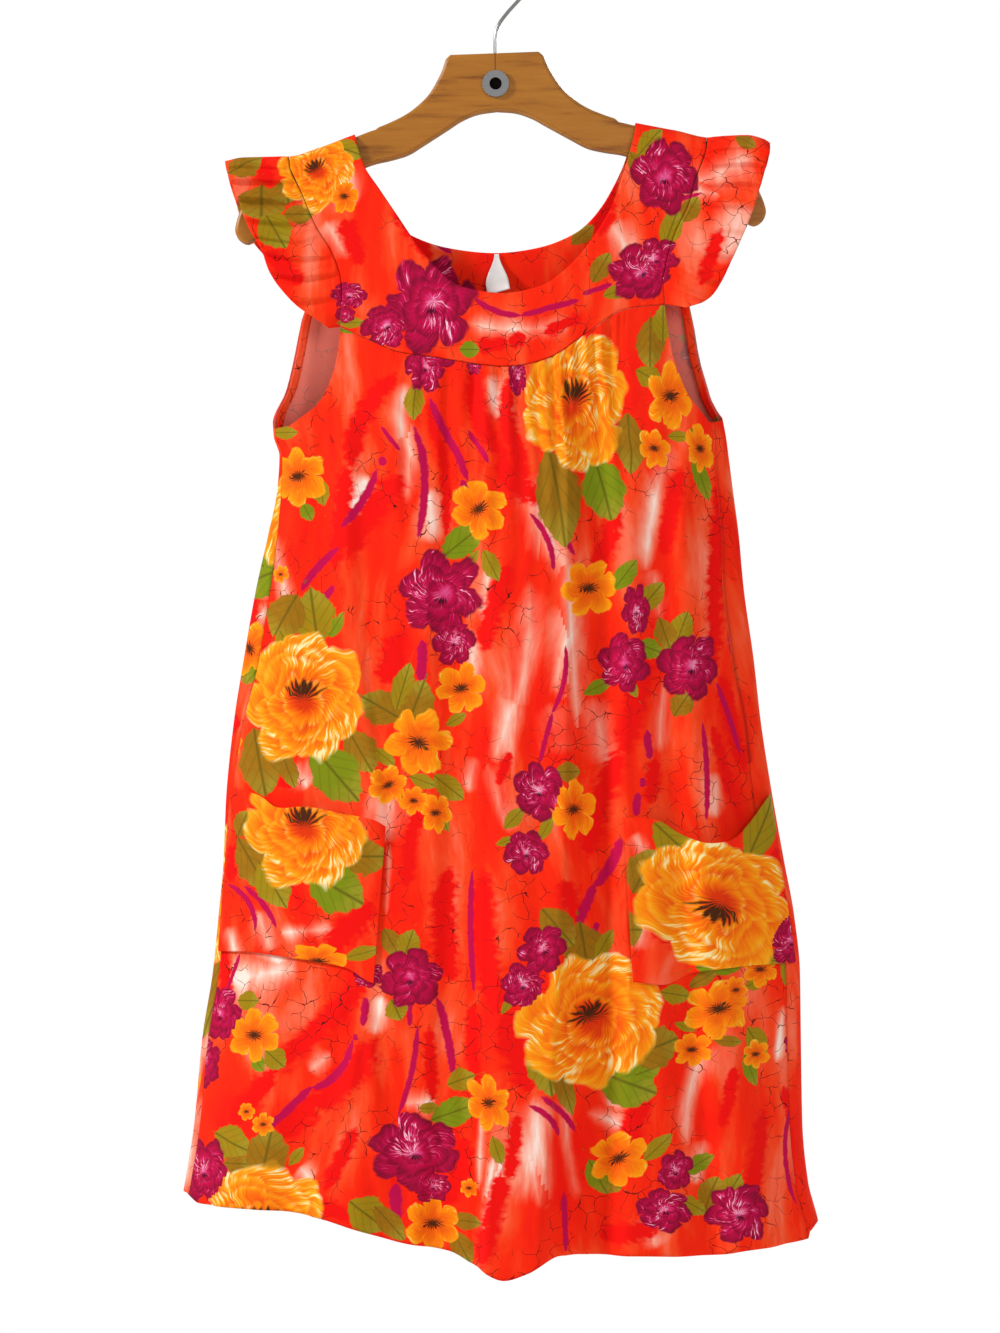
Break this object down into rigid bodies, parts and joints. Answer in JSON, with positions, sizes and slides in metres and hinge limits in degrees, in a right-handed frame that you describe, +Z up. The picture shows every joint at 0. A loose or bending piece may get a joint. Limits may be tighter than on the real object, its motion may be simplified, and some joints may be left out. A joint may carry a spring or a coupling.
{
  "type": "tent dress on a hanger",
  "caption": "Sleeveless floral tent dress with a U-shaped yoke, flutter sleeves and patch pockets, hanging on a wooden hanger with a wire hook.",
  "frame": {"origin": "top of the inside of the hook, where the hanger rests on a rail", "axes": "+X to the viewer's right, +Y away from the viewer towards the dress's back, +Z up; the dress faces -Y"},
  "size_m": [0.5329, 0.1763, 1.1058],
  "materials": {
    "cloth": "printed cotton, matt",
    "label": "woven satin label, blank",
    "wood": "clear lacquer",
    "ring": "satin",
    "rivet": "dark",
    "wire": "bright zinc plate"
  },
  "bodies": {
    "root": {"front_body": "cloth", "back_body": "cloth", "front_yoke": "cloth", "back_yoke": "cloth", "flutter_sleeve_left": "cloth", "flutter_sleeve_right": "cloth", "armhole_band_left": "cloth", "armhole_band_right": "cloth", "pocket_left": "cloth", "pocket_right": "cloth", "care_label": "label", "hanger_board": "wood", "hanger_ring": "ring", "hanger_rivet": "rivet", "hook_wire": "wire"}
  },
  "joints": []
}
